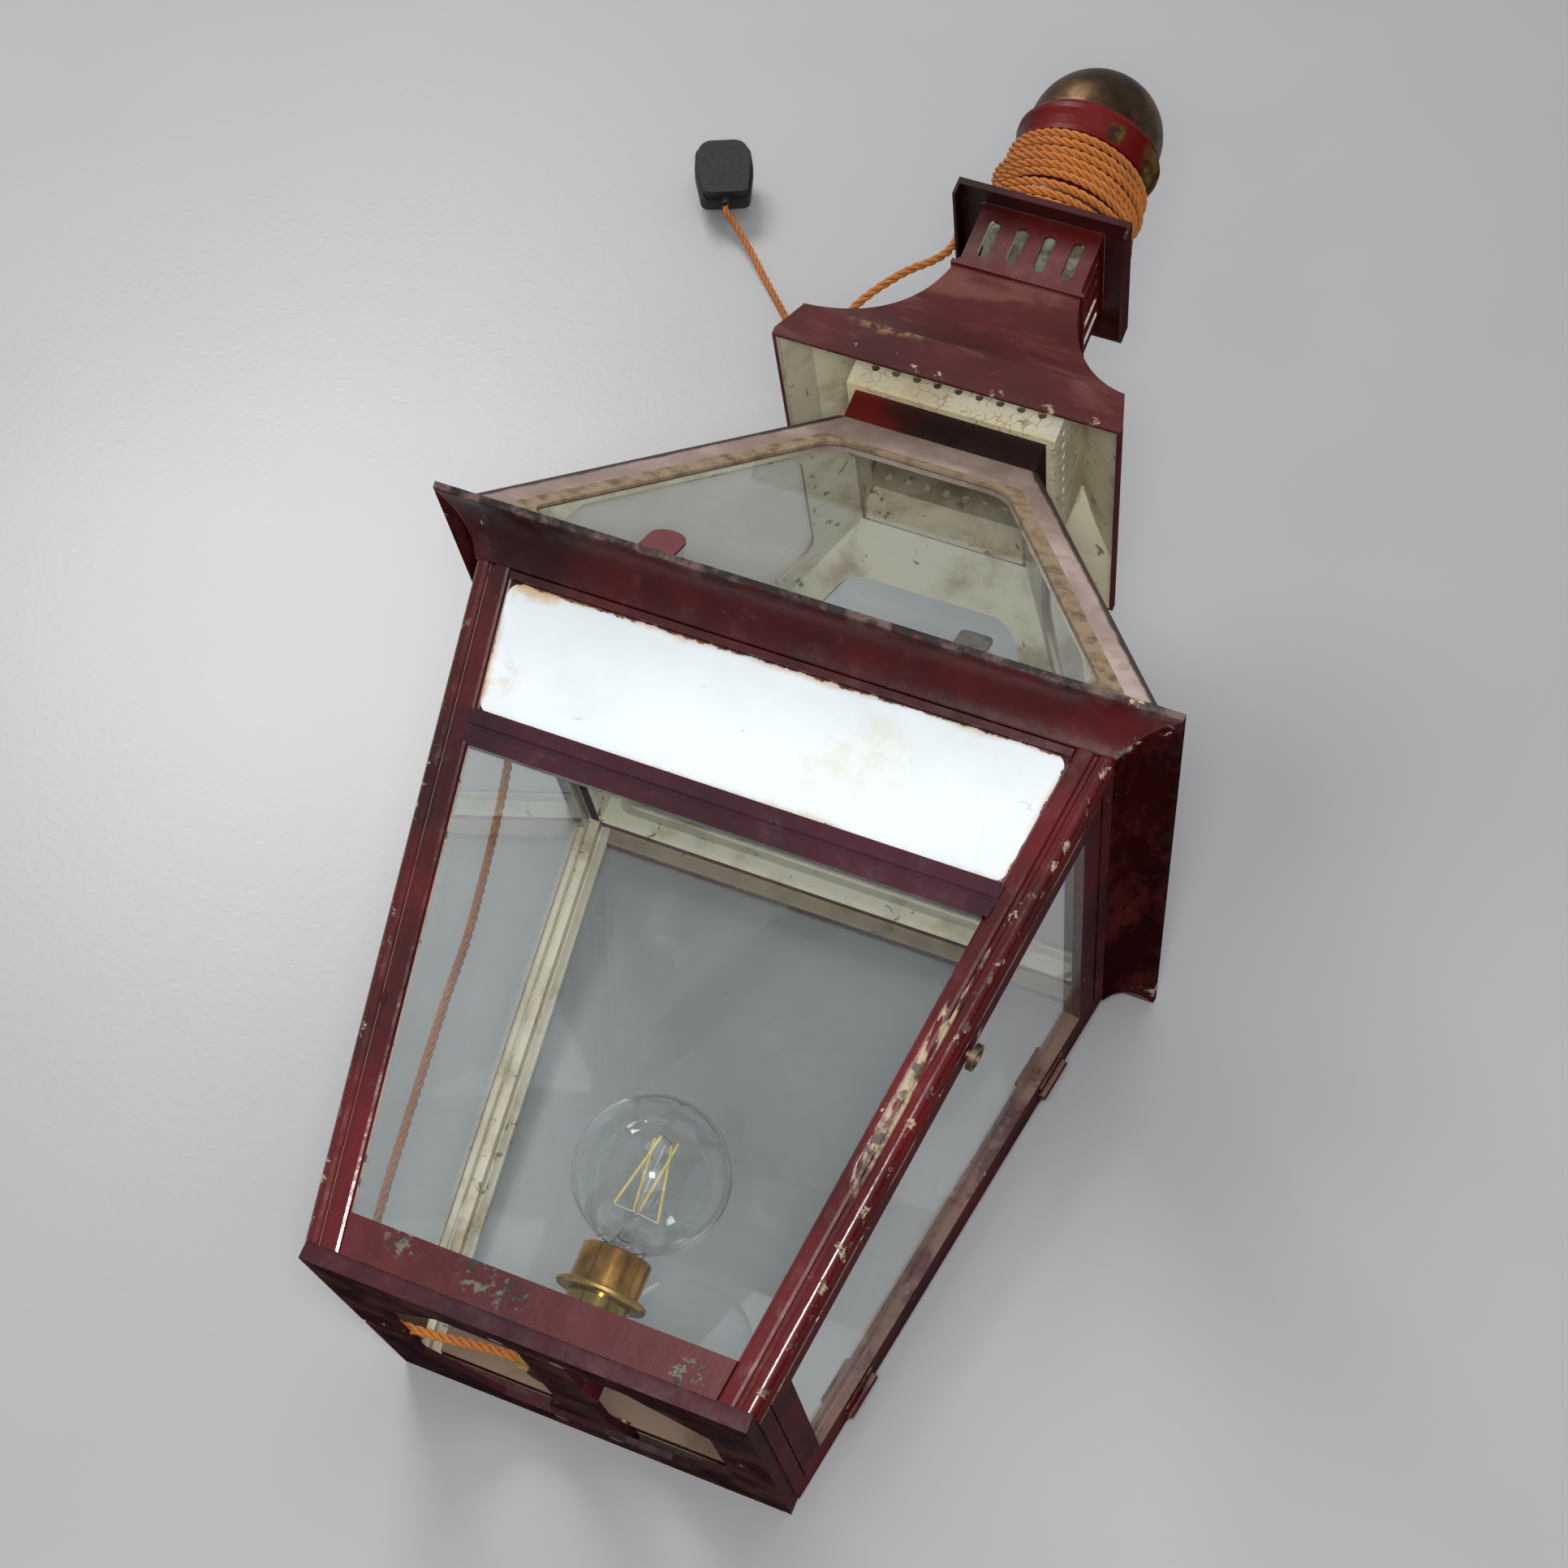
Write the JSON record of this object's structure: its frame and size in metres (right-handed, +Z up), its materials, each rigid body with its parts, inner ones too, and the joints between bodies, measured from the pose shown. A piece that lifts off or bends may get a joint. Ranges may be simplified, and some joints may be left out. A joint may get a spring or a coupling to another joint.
{
  "type": "platform lantern",
  "caption": "Maroon glazed platform lantern lying on its back: tapering body with side door and blank enamel plate, glass roof, vented chimney head, globe bulb and wound flex with plug.",
  "frame": {"origin": "on the floor, under the middle of the lantern's box as it lies, without its flex and plug", "axes": "+Z up from the floor, +Y toward the dome at the lantern's top, +X toward the side with the door; the plate and front face up"},
  "size_m": [0.6173, 1.1415, 0.4339],
  "materials": {
    "maroon_paint": "gloss maroon paint, chipped and grimy",
    "dark_paint": "old dark red paint over rust",
    "base_iron": "iron under worn purple-brown paint",
    "dark_steel": "dull dark steel",
    "white_enamel": "white vitreous enamel with rust at its edge",
    "pale_paint": "faded pinkish white paint with grime",
    "cream_paint": "flaking cream paint",
    "putty": "old brown putty",
    "dull_brass": "dull tarnished brass",
    "grey_metal": "worn grey metal",
    "copper": "dark brown copper, polished by wear",
    "lamp_brass": "new lacquered brass",
    "window_glass": "old window glass",
    "opal_glass": "whitened glass",
    "bulb_glass": "clear bulb glass",
    "cap_metal": "bright cap metal",
    "filament_yellow": "yellow coated filament sticks",
    "braided_flex": "orange-brown braided twisted flex",
    "black_plug": "black moulded plug",
    "plug_brass": "bright pin brass"
  },
  "bodies": {
    "lantern": {"base_frame": "base_iron", "cross_bar": "base_iron", "base_screws": "dark_steel", "rail_front": "maroon_paint", "rail_left": "maroon_paint", "rail_rear": "maroon_paint", "door_sill": "maroon_paint", "post_front_left": "maroon_paint", "post_front_right": "maroon_paint", "post_rear_left": "maroon_paint", "post_rear_right": "maroon_paint", "top_rail_front": "maroon_paint", "top_rail_left": "maroon_paint", "top_rail_rear": "maroon_paint", "top_rail_right": "maroon_paint", "cornice": "maroon_paint", "plate_rail": "maroon_paint", "sign_board": "maroon_paint", "name_plate": "white_enamel", "pane_front": "window_glass", "pane_left": "window_glass", "pane_rear": "window_glass", "hinge_post_leaves": "maroon_paint", "hinge_pins": "dark_steel", "roof_frame": "pale_paint", "roof_pane_front": "window_glass", "roof_pane_left": "opal_glass", "roof_pane_right": "window_glass", "roof_pane_rear": "window_glass", "roof_putty": "putty", "clip_left": "maroon_paint", "clip_right": "grey_metal", "throat_collar": "dark_paint", "deflector_box": "cream_paint", "cowl": "maroon_paint", "slotted_neck": "maroon_paint", "hood": "maroon_paint", "neck_drum": "maroon_paint", "neck_band": "maroon_paint", "dome_cap": "copper", "lampholder": "lamp_brass", "shade_ring": "lamp_brass", "entry_nipple": "lamp_brass", "flex_lower": "braided_flex", "flex_winding": "braided_flex", "flex_tail": "braided_flex", "plug_body": "black_plug", "plug_pins": "plug_brass"},
    "door": {"door_frame": "maroon_paint", "door_pane": "window_glass", "hinge_door_leaves": "maroon_paint"},
    "latch": {"latch_knob": "dull_brass", "latch_tongue": "dark_steel"},
    "bulb": {"bulb_glass": "bulb_glass", "bulb_cap": "cap_metal", "bulb_stem": "bulb_glass", "filaments": "filament_yellow", "filament_wires": "cap_metal"}
  },
  "joints": [
    {"name": "door_hinge", "type": "hinge", "parent": "lantern", "child": "door", "pos_m": [0.16389, -0.23506, 0.03459], "axis": [0.1524, 0.9864, 0.061], "range_deg": [0, 90]},
    {"name": "latch_turn", "type": "hinge", "parent": "door", "child": "latch", "pos_m": [0.16574, -0.26483, 0.3067], "axis": [-0.988, 0.1506, 0.0332], "range_deg": [0, 90]},
    {"name": "bulb_turn", "type": "hinge", "parent": "lantern", "child": "bulb", "pos_m": [0, -0.32693, 0.15619], "axis": [0, 0.9766, 0.215], "range_deg": [0, 360]}
  ]
}
